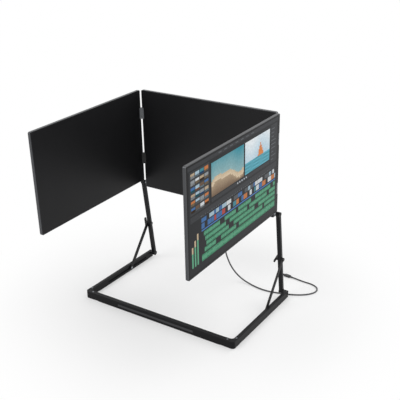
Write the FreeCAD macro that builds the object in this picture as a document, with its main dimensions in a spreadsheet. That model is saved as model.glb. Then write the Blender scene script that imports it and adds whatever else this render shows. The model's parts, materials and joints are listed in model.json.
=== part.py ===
"""A three-screen laptop extender on a free-standing U-shaped stand, in millimetres.

X runs across the stand, Y from the cross bar to the open ends of the side bars, Z up.
The origin is on the underside of the front rubber foot, below the middle of the cross bar.
Two leaning posts carry the centre screen on a tilt axis, and a side screen hangs on each of
its ends by two double-axis hinges. At rest the side screens are folded square to the back.
"""
import FreeCAD, Part
import math
import os
import re

import Sketcher

SIZES = {
    # Stand
    "base_depth": 292.0,
    "side_bar_width": 9.5,
    "cross_bar_depth": 12.0,
    "bar_height": 19.0,
    "bar_edge": 0.9,
    "foot_height": 1.5,
    "foot_inset": 1.2,
    "front_foot_length": 380.0,
    "side_foot_start": 40.0,
    "side_foot_length": 225.0,
    "corner_leg": 28.0,
    "corner_round": 8.0,
    "gusset_round": 9.0,
    "end_cap_length": 3.0,
    "end_cap_round": 2.4,
    "recess_start": -122.0,
    "recess_length": 235.0,
    "recess_height": 7.0,
    "recess_floor": 6.5,
    "recess_depth": 1.6,
    "inlay_thickness": 0.9,
    "groove_start": 78.0,
    "groove_length": 172.0,
    "groove_height": 5.0,
    "groove_depth": 2.5,
    "groove_middle": 10.8,
    "screw_radius": 2.4,
    "screw_length": 9.0,
    "screw_proud": 0.5,
    # Posts and their braces
    "pivot_height": 17.0,
    "screen_gap": 5.0,
    "post_width": 11.0,
    "post_gap": 3.5,
    "post_depth": 9.4,
    "post_edge": 1.2,
    "post_length": 242.3,
    "post_lean": 9.02,
    "foot_radius": 6.5,
    "head_radius": 6.5,
    "head_length": 15.0,
    "pivot_radius": 3.0,
    "shoulder_radius": 5.6,
    "running_fit": 0.1,
    "brace_point": 105.0,
    "brace_length": 139.0,
    "brace_width": 10.0,
    "brace_thickness": 3.0,
    "brace_gap": 0.25,
    "rivet_radius": 1.8,
    "rivet_head_radius": 3.4,
    "rivet_head": 1.6,
    "bolt_radius": 2.5,
    "bolt_head_radius": 4.6,
    "bolt_head": 2.0,
    "bolt_reach": 7.5,
    "nut_radius": 5.0,
    "nut_length": 5.5,
    "wing_span": 30.0,
    "wing_height": 8.0,
    "wing_thickness": 2.2,
    "wing_turn_left": 90.0,
    "wing_turn_right": 12.0,
    # Screens
    "screen_width": 402.0,
    "screen_height": 256.0,
    "screen_thickness": 7.0,
    "screen_lean": 1.5,
    "screen_round": 4.0,
    "chin_height": 21.2,
    "frame_wall": 1.6,
    "frame_flange": 5.2,
    "flange_back": 1.3,
    "flange_front": 3.0,
    "seat_fit": 0.15,
    "layer_gap": 0.1,
    "cover_thickness": 1.2,
    "glass_thickness": 1.2,
    "display_thickness": 2.5,
    "display_side": 6.15,
    "display_top": 4.5,
    "display_bottom": 7.2,
    "board_length": 120.0,
    "board_width": 36.0,
    "board_thickness": 1.4,
    "board_rise": 12.0,
    "button_length": 8.2,
    "button_depth": 1.8,
    "button_proud": 0.7,
    "button_flange": 0.7,
    "button_lip": 0.8,
    "button_place": 60.0,
    # Hinges between the screens
    "hinge_inset": 1.5,
    "hinge_pitch": 10.83,
    "hinge_height": 30.0,
    "hinge_low": 64.0,
    "hinge_high": 192.0,
    "hinge_pin_radius": 1.1,
    "hinge_pin_seat": 6.0,
    "notch_gap": 0.3,
    "boss_height": 7.5,
    "boss_depth": 5.9,
    # Tilt axis at the post heads
    "tilt_pin_radius": 1.8,
    "tilt_pin_seat": 10.0,
    "tilt_collar_radius": 3.4,
    "tilt_boss_height": 9.0,
    "open_pivot_gap": 0.3,
    # Cable and its connectors
    "cable_diameter": 4.0,
    "socket_length": 8.94,
    "socket_depth": 3.2,
    "socket_wall": 0.3,
    "socket_reach": 7.5,
    "socket_place": 45.0,
    "socket_spacing": 22.0,
    "plug_length": 17.0,
    "plug_width": 11.0,
    "plug_thickness": 5.4,
    "plug_round": 1.6,
    "plug_shell_reach": 6.2,
    "relief_length": 9.0,
    "relief_radius": 2.65,
}

# Places that follow from the sizes: the stand is as wide as the screen and posts need, and the
# posts stand at the open ends of the side bars.
DERIVED = {
    "post_inner": "screen_width / 2 + screen_gap",
    "post_outer": "post_inner + post_width",
    "bar_inner": "post_outer + post_gap",
    "half_base": "bar_inner + side_bar_width",
    "bar_end": "base_depth - cross_bar_depth / 2",
    "pivot_setback": "bar_end - foot_radius",
}

# Cutting tools reach this far past the face that they open.
OVER = 1.0
SIDES = ("left", "right")
X_AXIS = FreeCAD.Vector(1, 0, 0)
Y_AXIS = FreeCAD.Vector(0, 1, 0)
Z_AXIS = FreeCAD.Vector(0, 0, 1)

# Centre line of the lead, from its plug under the centre screen to the plug on the table.
# The first point is replaced by the end of the upper plug, and the heights on the table
# leave the lead lying on it.
CABLE_ROUTE = (
    (45.0, 243.0, 213.0),
    (44.5, 244.0, 186.0),
    (46.0, 247.0, 150.0),
    (48.0, 255.0, 116.0),
    (43.5, 269.0, 88.0),
    (41.5, 283.0, 64.0),
    (47.0, 291.0, 40.0),
    (62.0, 294.0, 20.0),
    (85.0, 293.0, 7.0),
    (113.0, 288.5, 2.0),
    (146.0, 281.0, 2.0),
    (175.0, 281.5, 2.0),
    (203.0, 289.0, 2.0),
    (231.0, 297.5, 2.0),
    (258.0, 312.0, 2.0),
    (277.0, 331.0, 2.0),
    (284.0, 352.0, 2.0),
    (276.0, 371.0, 2.0),
    (256.0, 380.5, 2.0),
    (233.0, 380.5, 2.0),
    (212.0, 383.2, 2.3),
    (195.0, 385.0, 2.75),
)
BEND_SHARE = 0.45
PLUG_HEADING = 174.0

doc = FreeCAD.newDocument("screen_extender")
sheet = doc.addObject("Spreadsheet::Sheet", "sizes")
for row, (size_name, size_value) in enumerate(SIZES.items(), start=1):
    sheet.set("A%d" % row, size_name)
    sheet.set("B%d" % row, str(size_value))
    sheet.setAlias("B%d" % row, size_name)
doc.recompute()

pieces = []


def formula(text):
    """The text as an expression whose size names point at the sheet."""

    def point(match):
        word = match.group(0)
        if word in DERIVED:
            return "(%s)" % formula(DERIVED[word])
        return "sizes." + word if word in SIZES else word

    return re.sub(r"[A-Za-z_]\w*", point, str(text))


def number(text):
    """The value of an expression of size names."""
    return float(sheet.evalExpression(formula(text)))


def vector(x, y, z):
    """A point from three expressions."""
    return FreeCAD.Vector(number(x), number(y), number(z))


def turn(axis, angle):
    """A rotation about an axis through the origin, in degrees."""
    return FreeCAD.Placement(FreeCAD.Vector(), FreeCAD.Rotation(axis, angle))


def shift(x, y, z):
    """A move by three expressions."""
    return FreeCAD.Placement(vector(x, y, z), FreeCAD.Rotation())


def locate(solid, at):
    """Binds a solid's place to three expressions."""
    for key, text in zip("xyz", at):
        solid.setExpression("Placement.Base." + key, formula(text))


def block(name, size, at):
    """A box with its lowest corner at a point."""
    solid = doc.addObject("Part::Box", name)
    for key, text in zip(("Length", "Width", "Height"), size):
        solid.setExpression(key, formula(text))
    locate(solid, at)
    return solid


def rod(name, radius, length, at, axis="z"):
    """A cylinder that starts at a point and runs along an axis."""
    solid = doc.addObject("Part::Cylinder", name)
    solid.setExpression("Radius", formula(radius))
    solid.setExpression("Height", formula(length))
    if axis == "x":
        solid.Placement = turn(Y_AXIS, 90)
    if axis == "y":
        solid.Placement = turn(X_AXIS, -90)
    locate(solid, at)
    return solid


def fuse(name, solids):
    """One solid from several that touch."""
    result = doc.addObject("Part::MultiFuse", name)
    result.Shapes = solids
    result.Refine = True
    return result


def group(name, solids):
    """Separate solids of one kind, kept together."""
    result = doc.addObject("Part::Compound", name)
    result.Links = solids
    return result


def cut(name, base, tools):
    """A solid with tools taken away from it."""
    result = doc.addObject("Part::Cut", name)
    result.Base = base
    result.Tool = tools[0] if len(tools) == 1 else fuse(name + "_tools", tools)
    return result


def round_edges(name, base, radius, wanted):
    """A solid with a fillet on each edge that the test wants."""
    doc.recompute()
    size = number(radius)
    result = doc.addObject("Part::Fillet", name)
    result.Base = base
    edges = []
    for index, edge in enumerate(base.Shape.Edges, start=1):
        if wanted(edge):
            edges.append((index, size, size))
    result.Edges = edges
    return result


def runs_along(axis):
    """A test for straight edges along an axis."""

    def wanted(edge):
        if not isinstance(edge.Curve, Part.Line):
            return False
        return abs(abs(edge.Curve.Direction.dot(axis)) - 1) < 1e-6

    return wanted


def upright_at(x, y):
    """A test for upright edges at a place in plan."""

    def wanted(edge):
        middle = edge.CenterOfMass
        near = abs(abs(middle.x) - x) < 0.01 and abs(middle.y - y) < 0.01
        return near and runs_along(Z_AXIS)(edge)

    return wanted


def origin_plane(body):
    """The body's own ground plane."""
    return [plane for plane in body.Origin.OriginFeatures if plane.Role == "XY_Plane"][0]


def rectangle(body, name, size, at):
    """A rectangle sketch on the body's ground plane, with one corner at a point."""
    sketch = body.newObject("Sketcher::SketchObject", name)
    sketch.AttachmentSupport = (origin_plane(body), [""])
    sketch.MapMode = "FlatFace"
    width = number(size[0])
    height = number(size[1])
    corners = [(0, 0), (width, 0), (width, height), (0, height)]
    for index in range(4):
        start = FreeCAD.Vector(*corners[index], 0)
        end = FreeCAD.Vector(*corners[(index + 1) % 4], 0)
        sketch.addGeometry(Part.LineSegment(start, end), False)
    for index in range(4):
        sketch.addConstraint(Sketcher.Constraint("Coincident", index, 2, (index + 1) % 4, 1))
        level = "Horizontal" if index % 2 == 0 else "Vertical"
        sketch.addConstraint(Sketcher.Constraint(level, index))
    sketch.addConstraint(Sketcher.Constraint("Coincident", 0, 1, -1, 1))
    for key, edge, length, text in (
        ("DistanceX", 0, width, size[0]),
        ("DistanceY", 1, height, size[1]),
    ):
        place = sketch.addConstraint(Sketcher.Constraint(key, edge, 1, edge, 2, length))
        sketch.renameConstraint(place, key.lower())
        sketch.setExpression("Constraints." + key.lower(), formula(text))
    for key, text in zip("xy", at):
        sketch.setExpression("AttachmentOffset.Base." + key, formula(text))
    return sketch


def plate(name, size, thickness, radius=None, openings=()):
    """A flat piece: a padded rectangle with rounded corners and through openings.

    Its corner is at its own origin, and each opening is a size and a place on it.
    """
    body = doc.addObject("PartDesign::Body", name)
    pad = body.newObject("PartDesign::Pad", name + "_pad")
    pad.Profile = rectangle(body, name + "_outline", size, ("0", "0"))
    pad.setExpression("Length", formula(thickness))
    body.Tip = pad
    doc.recompute()
    if radius is not None:
        corners = body.newObject("PartDesign::Fillet", name + "_corners")
        upright = runs_along(Z_AXIS)
        names = ["Edge%d" % index for index, edge in enumerate(pad.Shape.Edges, 1) if upright(edge)]
        corners.Base = (pad, names)
        corners.setExpression("Radius", formula(radius))
        body.Tip = corners
    for index, (opening_size, opening_at) in enumerate(openings):
        doc.recompute()
        pocket = body.newObject("PartDesign::Pocket", "%s_opening_%d" % (name, index))
        outline = rectangle(body, "%s_opening_outline_%d" % (name, index), opening_size, opening_at)
        pocket.Profile = outline
        pocket.Type = "ThroughAll"
        pocket.Reversed = True
        body.Tip = pocket
    return body


def keep(node, solid, place=None):
    """Names a finished piece and puts it in its place."""
    solid.Label = node
    if place is not None:
        solid.Placement = place.multiply(solid.Placement)
    pieces.append((node, solid))


def outward(side, near, width):
    """The lowest X of something on one side, from its distance to the middle plane."""
    if side == "right":
        return near
    return "-(%s) - (%s)" % (near, width)


def outward_rod(side, name, radius, near, length, y, z):
    """A rod along X on one side, from its distance to the middle plane."""
    return rod(name, radius, length, (outward(side, near, length), y, z), axis="x")


# Places that several pieces share
HALF_BAR = "cross_bar_depth / 2"
BAR_TOP = "foot_height + bar_height"
SIDE_BAR_START = "corner_leg - cross_bar_depth / 2"
HALF_THICK = "screen_thickness / 2"
FOLD_STEP = "hinge_pitch * cos(45)"


def stand_bars():
    """The cross bar, its front inlay, the side bars and their end caps."""
    blank = block(
        "cross_bar_blank",
        ("2 * (half_base - corner_leg)", "cross_bar_depth", "bar_height"),
        ("corner_leg - half_base", "-" + HALF_BAR, "foot_height"),
    )
    rounded = round_edges("cross_bar_rounded", blank, "bar_edge", runs_along(X_AXIS))
    recess = block(
        "cross_bar_recess",
        ("recess_length", "recess_depth + %s" % OVER, "recess_height"),
        ("recess_start", "-%s - %s" % (HALF_BAR, OVER), "recess_floor"),
    )
    keep("cross_bar", cut("cross_bar", rounded, [recess]))
    inlay = plate(
        "cross_bar_inlay",
        ("recess_length - 2 * seat_fit", "recess_height - 2 * seat_fit"),
        "inlay_thickness",
        "bar_edge",
    )
    inlay_place = shift(
        "recess_start + seat_fit", "recess_depth - %s" % HALF_BAR, "recess_floor + seat_fit"
    )
    keep("cross_bar_inlay", inlay, inlay_place.multiply(turn(X_AXIS, 90)))
    for side in SIDES:
        side_bar(side)


def side_bar(side):
    """One side bar with its inner groove and pivot bore, and the cap on its open end."""
    start = outward(side, "bar_inner", "side_bar_width")
    blank = block(
        "side_bar_blank_" + side,
        (
            "side_bar_width",
            "bar_end - end_cap_length - (%s)" % SIDE_BAR_START,
            "bar_height",
        ),
        (start, SIDE_BAR_START, "foot_height"),
    )
    rounded = round_edges("side_bar_rounded_" + side, blank, "bar_edge", runs_along(Y_AXIS))
    groove = block(
        "side_bar_groove_" + side,
        ("groove_depth + %s" % OVER, "groove_length", "groove_height"),
        (
            outward(side, "bar_inner - %s" % OVER, "groove_depth + %s" % OVER),
            "groove_start",
            "groove_middle - groove_height / 2",
        ),
    )
    bore = outward_rod(
        side,
        "side_bar_bore_" + side,
        "pivot_radius + seat_fit / 3",
        "bar_inner - %s" % OVER,
        "side_bar_width - 1.5 + %s" % OVER,
        "pivot_setback",
        "pivot_height",
    )
    keep("side_bar_" + side, cut("side_bar_" + side, rounded, [groove, bore]))
    cap = block(
        "bar_end_blank_" + side,
        ("side_bar_width", "end_cap_length", "bar_height"),
        (start, "bar_end - end_cap_length", "foot_height"),
    )

    def outer_edge(edge):
        return abs(edge.CenterOfMass.y - number("bar_end")) < 0.01

    keep("bar_end_" + side, round_edges("bar_end_" + side, cap, "end_cap_round", outer_edge))


def corner(side):
    """The angle piece that joins the cross bar to a side bar, with its gusset."""
    cross_leg = block(
        "corner_cross_leg_" + side,
        ("corner_leg", "cross_bar_depth", "bar_height"),
        (
            outward(side, "half_base - corner_leg", "corner_leg"),
            "-" + HALF_BAR,
            "foot_height",
        ),
    )
    side_leg = block(
        "corner_side_leg_" + side,
        ("side_bar_width", "corner_leg", "bar_height"),
        (outward(side, "bar_inner", "side_bar_width"), "-" + HALF_BAR, "foot_height"),
    )
    angle = fuse("corner_angle_" + side, [cross_leg, side_leg])
    outer = upright_at(number("half_base"), -number(HALF_BAR))
    outside = round_edges("corner_outside_" + side, angle, "corner_round", outer)
    inner = upright_at(number("bar_inner"), number(HALF_BAR))
    gusset = round_edges("corner_gusset_" + side, outside, "gusset_round", inner)
    holes = []
    for index, (across, along) in enumerate(SCREW_PLACES):
        hole = rod(
            "corner_hole_%s_%d" % (side, index),
            "screw_radius + seat_fit / 3",
            "screw_length - screw_proud + %s" % OVER,
            (
                outward(side, across, "0"),
                along,
                "%s + screw_proud - screw_length" % BAR_TOP,
            ),
        )
        holes.append(hole)
    keep("corner_" + side, cut("corner_" + side, gusset, holes))


# The two screws of each corner: distance from the middle plane, and Y.
SCREW_PLACES = (
    ("half_base - corner_leg + 7", "0"),
    ("half_base - side_bar_width / 2", "corner_leg - cross_bar_depth / 2 - 7"),
)


def corner_screws():
    """The screws in the tops of both corners, with a driver slot each."""
    screws = []
    for side in SIDES:
        for index, (across, along) in enumerate(SCREW_PLACES):
            name = "corner_screw_%s_%d" % (side, index)
            middle = outward(side, across, "0")
            floor = "%s + screw_proud - screw_length" % BAR_TOP
            shank = rod(name, "screw_radius", "screw_length", (middle, along, floor))
            slot = block(
                name + "_slot",
                ("2 * screw_radius + 2", "0.7", "0.6 + %s" % OVER),
                (
                    "%s - screw_radius - 1" % middle,
                    "%s - 0.35" % along,
                    "%s + screw_proud - 0.6" % BAR_TOP,
                ),
            )
            screws.append(cut(name + "_slotted", shank, [slot]))
    keep("corner_screws", group("corner_screws", screws))


def rubber_feet():
    """The strips that the stand rests on: one below the cross bar, one below each side bar."""
    front = plate(
        "foot_front",
        ("front_foot_length", "cross_bar_depth - 2 * foot_inset"),
        "foot_height",
        "foot_inset",
    )
    keep("foot_front", front, shift("-front_foot_length / 2", "foot_inset - " + HALF_BAR, "0"))
    for side in SIDES:
        strip = plate(
            "foot_" + side,
            ("side_bar_width - 2 * foot_inset", "side_foot_length"),
            "foot_height",
            "foot_inset",
        )
        width = "side_bar_width - 2 * foot_inset"
        start = outward(side, "bar_inner + foot_inset", width)
        keep("foot_" + side, strip, shift(start, "side_foot_start", "0"))


def pivot_pin(side):
    """The shouldered pin in the side bar that the post leans about."""
    inner = "post_inner + seat_fit"
    shank = outward_rod(
        side,
        "post_pin_shank_" + side,
        "pivot_radius",
        inner,
        "half_base - 2 - (%s)" % inner,
        "pivot_setback",
        "pivot_height",
    )
    near = "post_outer + seat_fit"
    shoulder = outward_rod(
        side,
        "post_pin_shoulder_" + side,
        "shoulder_radius",
        near,
        "bar_inner - (%s)" % near,
        "pivot_setback",
        "pivot_height",
    )
    shoulder_top = block(
        "post_pin_trim_" + side,
        ("side_bar_width", "4 * shoulder_radius", "shoulder_radius"),
        (
            outward(side, near, "side_bar_width"),
            "pivot_setback - 2 * shoulder_radius",
            BAR_TOP,
        ),
    )
    collar = cut("post_pin_collar_" + side, shoulder, [shoulder_top])
    keep("post_pin_" + side, fuse("post_pin_" + side, [shank, collar]))


def post_place():
    """The frame of a leaning post: its foot pivot, with Z up the post."""
    lean = turn(X_AXIS, number("post_lean"))
    return shift("0", "pivot_setback", "pivot_height").multiply(lean)


def post(side):
    """One post with its rounded foot, and the separate head that carries the tilt axis."""
    start = outward(side, "post_inner", "post_width")
    shaft = block(
        "post_shaft_" + side,
        ("post_width", "post_depth", "post_length - head_length"),
        (start, "-post_depth / 2", "0"),
    )
    rounded = round_edges("post_rounded_" + side, shaft, "post_edge", runs_along(Z_AXIS))
    foot = outward_rod(
        side, "post_foot_" + side, "foot_radius", "post_inner", "post_width", "0", "0"
    )
    blank = fuse("post_blank_" + side, [rounded, foot])
    reach = "post_width + %s" % (2 * OVER)
    near = "post_inner - %s" % OVER
    pivot_bore = outward_rod(
        side, "post_bore_" + side, "pivot_radius + running_fit", near, reach, "0", "0"
    )
    bolt_bore = outward_rod(
        side,
        "post_bolt_bore_" + side,
        "bolt_radius + seat_fit / 3",
        near,
        reach,
        "0",
        "brace_point",
    )
    keep("post_" + side, cut("post_" + side, blank, [pivot_bore, bolt_bore]), post_place())
    neck = block(
        "post_neck_" + side,
        ("post_width", "post_depth", "head_length"),
        (start, "-post_depth / 2", "post_length - head_length"),
    )
    neck_rounded = round_edges("post_neck_rounded_" + side, neck, "post_edge", runs_along(Z_AXIS))
    disc = outward_rod(
        side, "post_disc_" + side, "head_radius", "post_inner", "post_width", "0", "post_length"
    )
    head = fuse("post_head_blank_" + side, [neck_rounded, disc])
    tilt_bore = outward_rod(
        side,
        "post_head_bore_" + side,
        "tilt_pin_radius + running_fit",
        near,
        reach,
        "0",
        "post_length",
    )
    keep("post_head_" + side, cut("post_head_" + side, head, [tilt_bore]), post_place())


def brace_drop():
    """How far the brace's foot lies below its bolt."""
    bolt_height = number("pivot_height + brace_point * cos(post_lean)")
    return bolt_height - number("groove_middle")


def brace_place():
    """The frame of a brace: its bolt, with Z up the brace."""
    angle = -math.degrees(math.acos(brace_drop() / number("brace_length")))
    bolt = shift(
        "0",
        "pivot_setback - brace_point * sin(post_lean)",
        "pivot_height + brace_point * cos(post_lean)",
    )
    return bolt.multiply(turn(X_AXIS, angle))


def brace(side):
    """The flat brace from the post to the side bar, and the rivet at its foot."""
    near = "post_outer + brace_gap"
    start = outward(side, near, "brace_thickness")
    strap = block(
        "brace_strap_" + side,
        ("brace_thickness", "brace_width", "brace_length"),
        (start, "-brace_width / 2", "-brace_length"),
    )
    ends = []
    for name, level in (("top", "0"), ("foot", "-brace_length")):
        end = outward_rod(
            side,
            "brace_%s_%s" % (name, side),
            "brace_width / 2",
            near,
            "brace_thickness",
            "0",
            level,
        )
        ends.append(end)
    blank = fuse("brace_blank_" + side, [strap] + ends)
    reach = "brace_thickness + %s" % (2 * OVER)
    outside = "%s - %s" % (near, OVER)
    bolt_bore = outward_rod(
        side, "brace_bore_" + side, "bolt_radius + running_fit", outside, reach, "0", "0"
    )
    rivet_bore = outward_rod(
        side,
        "brace_rivet_bore_" + side,
        "rivet_radius + seat_fit / 3",
        outside,
        reach,
        "0",
        "-brace_length",
    )
    keep("brace_" + side, cut("brace_" + side, blank, [bolt_bore, rivet_bore]), brace_place())
    shank = outward_rod(
        side,
        "brace_rivet_shank_" + side,
        "rivet_radius",
        "%s - rivet_head" % near,
        "rivet_head + brace_thickness",
        "0",
        "-brace_length",
    )
    head = outward_rod(
        side,
        "brace_rivet_head_" + side,
        "rivet_head_radius",
        "%s - rivet_head" % near,
        "rivet_head",
        "0",
        "-brace_length",
    )
    keep("brace_rivet_" + side, fuse("brace_rivet_" + side, [shank, head]), brace_place())


# Both bolts go in from the same side, so that both nuts face left.
BRACE_OUTER = "post_outer + brace_gap + brace_thickness + running_fit"


def brace_bolt(side):
    """The bolt that joins post and brace. Its head is on the right-hand face of each post."""
    if side == "right":
        shank_near = "post_inner - bolt_reach"
        shank_end = BRACE_OUTER
        head_near = BRACE_OUTER
    else:
        shank_near = "post_inner - running_fit"
        shank_end = BRACE_OUTER + " + bolt_reach"
        head_near = "post_inner - running_fit - bolt_head"
    shank = outward_rod(
        side,
        "brace_bolt_shank_" + side,
        "bolt_radius",
        shank_near,
        "%s - (%s)" % (shank_end, shank_near),
        "0",
        "brace_point",
    )
    head = outward_rod(
        side,
        "brace_bolt_head_" + side,
        "bolt_head_radius",
        head_near,
        "bolt_head",
        "0",
        "brace_point",
    )
    keep("brace_bolt_" + side, fuse("brace_bolt_" + side, [shank, head]), post_place())


def wing_nut(side):
    """The nut on the left-hand face of a post or its brace, with two wings to turn it by."""
    if side == "right":
        near = "post_inner - running_fit - nut_length"
        wing_near = "%s - wing_thickness / 2" % near
    else:
        near = BRACE_OUTER
        wing_near = "%s + nut_length - wing_thickness / 2" % near
    hub = outward_rod(side, "wing_nut_hub_" + side, "nut_radius", near, "nut_length", "0", "0")
    wing_start = outward(side, wing_near, "wing_thickness")
    bar = block(
        "wing_nut_bar_" + side,
        ("wing_thickness", "wing_span - wing_height", "wing_height"),
        (wing_start, "(wing_height - wing_span) / 2", "-wing_height / 2"),
    )
    solids = [hub, bar]
    for name, middle in (("front", -1), ("back", 1)):
        tip = outward_rod(
            side,
            "wing_nut_%s_%s" % (name, side),
            "wing_height / 2",
            wing_near,
            "wing_thickness",
            "%d * (wing_span - wing_height) / 2" % middle,
            "0",
        )
        solids.append(tip)
    blank = fuse("wing_nut_blank_" + side, solids)
    bore = outward_rod(
        side,
        "wing_nut_bore_" + side,
        "bolt_radius + running_fit",
        "%s - nut_length" % near,
        "3 * nut_length",
        "0",
        "0",
    )
    place = post_place().multiply(shift("0", "0", "brace_point"))
    place = place.multiply(turn(X_AXIS, number("wing_turn_" + side)))
    keep("wing_nut_" + side, cut("wing_nut_" + side, blank, [bore]), place)


def centre_place():
    """The frame of the centre screen: the tilt axis, with Z up the screen."""
    axis = shift("0", "-post_length * sin(post_lean)", "post_length * cos(post_lean)")
    pivot = shift("0", "pivot_setback", "pivot_height")
    return pivot.multiply(axis).multiply(turn(X_AXIS, number("screen_lean")))


def side_place(side):
    """The frame of a side screen: its hinged end at its lower edge, folded square to the back."""
    sign = 1 if side == "right" else -1
    corner_place = shift(
        "%d * (screen_width / 2 - hinge_inset + %s)" % (sign, FOLD_STEP),
        "hinge_inset - " + FOLD_STEP,
        "chin_height / 2",
    )
    return centre_place().multiply(corner_place).multiply(turn(Z_AXIS, -90 * sign))


class Screen:
    """One screen: its frame, its outline and the ends that carry hinges."""

    def __init__(self, name, place, start, low, face, ends):
        self.name = name
        self.place = place
        # Lowest X of the outline, its lower edge, and the lower edge of its display face
        self.start = start
        self.low = low
        self.face = face
        self.ends = ends
        self.tall = "%s + screen_height - (%s)" % (face, low)

    def inward(self, end, depth, width):
        """The lowest X of something that starts at a depth from a hinged end."""
        if self.name == "centre" and end == "right":
            return "screen_width / 2 - (%s) - (%s)" % (depth, width)
        if self.name == "centre":
            return "-screen_width / 2 + (%s)" % depth
        if end == "right":
            return "-(%s) - (%s)" % (depth, width)
        return depth

    def hinge_levels(self):
        """The middle of each hinge, in the screen's own frame."""
        return [("low", "%s + hinge_low" % self.face), ("high", "%s + hinge_high" % self.face)]

    def hinges(self):
        """Every hinge: its end, its name and its middle."""
        for end in self.ends:
            for level_name, level in self.hinge_levels():
                yield end, level_name, level


NOTCH_DEPTH = "hinge_inset + screen_thickness / 2 + notch_gap"
NOTCH_HEIGHT = "hinge_height + 2 * notch_gap"


def screens():
    """The three screens. A side screen's hinged end is named after the side that faces it."""
    centre = Screen(
        "centre",
        centre_place(),
        "-screen_width / 2",
        "-chin_height / 2",
        "chin_height / 2",
        SIDES,
    )
    right = Screen("right", side_place("right"), "0", "0", "0", ("left",))
    left = Screen("left", side_place("left"), "-screen_width", "0", "0", ("right",))
    return centre, left, right


def layer(depth):
    """A Y from the back face of a screen."""
    return "(%s) - %s" % (depth, HALF_THICK)


def edge_frame(screen):
    """The ring around a screen, with the flange that the display sits on and its hinge bosses."""
    name = "edge_frame_" + screen.name
    blank = block(
        name + "_blank",
        ("screen_width", "screen_thickness", screen.tall),
        (screen.start, "-" + HALF_THICK, screen.low),
    )
    rounded = round_edges(name + "_rounded", blank, "screen_round", runs_along(Y_AXIS))
    hollows = []
    for part, inset, back, front in (
        ("back", "frame_wall", "-%s" % OVER, "flange_back"),
        ("front", "frame_wall", "flange_front", "screen_thickness + %s" % OVER),
        ("window", "frame_wall + frame_flange", "0", "screen_thickness"),
    ):
        hollow = block(
            "%s_%s" % (name, part),
            (
                "screen_width - 2 * (%s)" % inset,
                "%s - (%s)" % (front, back),
                "%s - 2 * (%s)" % (screen.tall, inset),
            ),
            (
                "%s + %s" % (screen.start, inset),
                layer(back),
                "%s + %s" % (screen.low, inset),
            ),
        )
        hollows.append(hollow)
    ring = cut(name + "_ring", rounded, hollows)
    additions = [ring]
    openings = []
    boss_front = "screen_thickness - glass_thickness - 2 * layer_gap"
    for end, level_name, level in screen.hinges():
        tag = "%s_%s_%s" % (name, end, level_name)
        boss_height = "%s + 2 * boss_height" % NOTCH_HEIGHT
        additions.append(
            block(
                tag + "_boss",
                ("boss_depth - 0.5", "%s - flange_back" % boss_front, boss_height),
                (
                    screen.inward(end, "0.5", "boss_depth - 0.5"),
                    layer("flange_back"),
                    "%s - (%s) / 2" % (level, boss_height),
                ),
            )
        )
        notch_width = "%s + %s" % (NOTCH_DEPTH, OVER)
        openings.append(
            block(
                tag + "_notch",
                (notch_width, "screen_thickness + %s" % (2 * OVER), NOTCH_HEIGHT),
                (
                    screen.inward(end, "-%s" % OVER, notch_width),
                    "-%s - %s" % (HALF_THICK, OVER),
                    "%s - (%s) / 2" % (level, NOTCH_HEIGHT),
                ),
            )
        )
        pin_length = "%s + 2 * hinge_pin_seat + 2 * layer_gap" % NOTCH_HEIGHT
        openings.append(
            rod(
                tag + "_pin_bore",
                "hinge_pin_radius + seat_fit / 3",
                pin_length,
                (
                    screen.inward(end, "hinge_inset", "0"),
                    "0",
                    "%s - (%s) / 2" % (level, pin_length),
                ),
            )
        )
    openings.append(button_slot(screen))
    if screen.name == "centre":
        for end in SIDES:
            additions.append(tilt_boss(screen, end))
            openings.append(tilt_bore(end))
        openings.extend(socket_slots(screen))
    body = fuse(name + "_body", additions)
    keep(name, cut(name, body, openings), screen.place)


def tilt_boss(screen, end):
    """The block inside the chin that holds a tilt pin."""
    width = "tilt_pin_seat + 1.5"
    return block(
        "tilt_boss_" + end,
        (
            width,
            "screen_thickness - glass_thickness - 2 * layer_gap - flange_back",
            "tilt_boss_height",
        ),
        (
            screen.inward(end, "0.5", width),
            layer("flange_back"),
            "-tilt_boss_height / 2",
        ),
    )


def tilt_bore(end):
    """The bore for a tilt pin in the end of the chin."""
    near = "screen_width / 2 - tilt_pin_seat - layer_gap"
    length = "tilt_pin_seat + layer_gap + %s" % OVER
    return outward_rod(
        end, "tilt_bore_" + end, "tilt_pin_radius + seat_fit / 3", near, length, "0", "0"
    )


def tilt_pin(side):
    """The stub axle of the centre screen. The right one stops short of its post."""
    near = "screen_width / 2 - tilt_pin_seat"
    if side == "left":
        reach = "post_outer - 1 - (%s)" % near
    else:
        reach = "post_inner - open_pivot_gap - (%s)" % near
    stem = outward_rod(side, "tilt_stem_" + side, "tilt_pin_radius", near, reach, "0", "0")
    collar_near = "screen_width / 2 + layer_gap / 2"
    collar = outward_rod(
        side,
        "tilt_collar_" + side,
        "tilt_collar_radius",
        collar_near,
        "post_inner - open_pivot_gap - (%s)" % collar_near,
        "0",
        "0",
    )
    keep("tilt_pin_" + side, fuse("tilt_pin_" + side, [stem, collar]), centre_place())


def notch_openings(screen, corner_x, corner_z):
    """The hinge notches as openings of a plate with its corner at a place."""
    openings = []
    width = "%s + %s" % (NOTCH_DEPTH, OVER)
    for end, _, level in screen.hinges():
        across = "%s - (%s)" % (screen.inward(end, "-%s" % OVER, width), corner_x)
        upward = "%s - (%s) / 2 - (%s)" % (level, NOTCH_HEIGHT, corner_z)
        openings.append(((width, NOTCH_HEIGHT), (across, upward)))
    return openings


def screen_plate(screen, kind, corner_x, corner_z, size, front, thickness, radius, openings):
    """A flat layer of a screen, from its lower corner, its front face and its thickness."""
    node = "%s_%s" % (kind, screen.name)
    body = plate(node, size, thickness, radius, openings)
    place = screen.place.multiply(shift(corner_x, layer(front), corner_z))
    keep(node, body, place.multiply(turn(X_AXIS, 90)))


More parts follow.
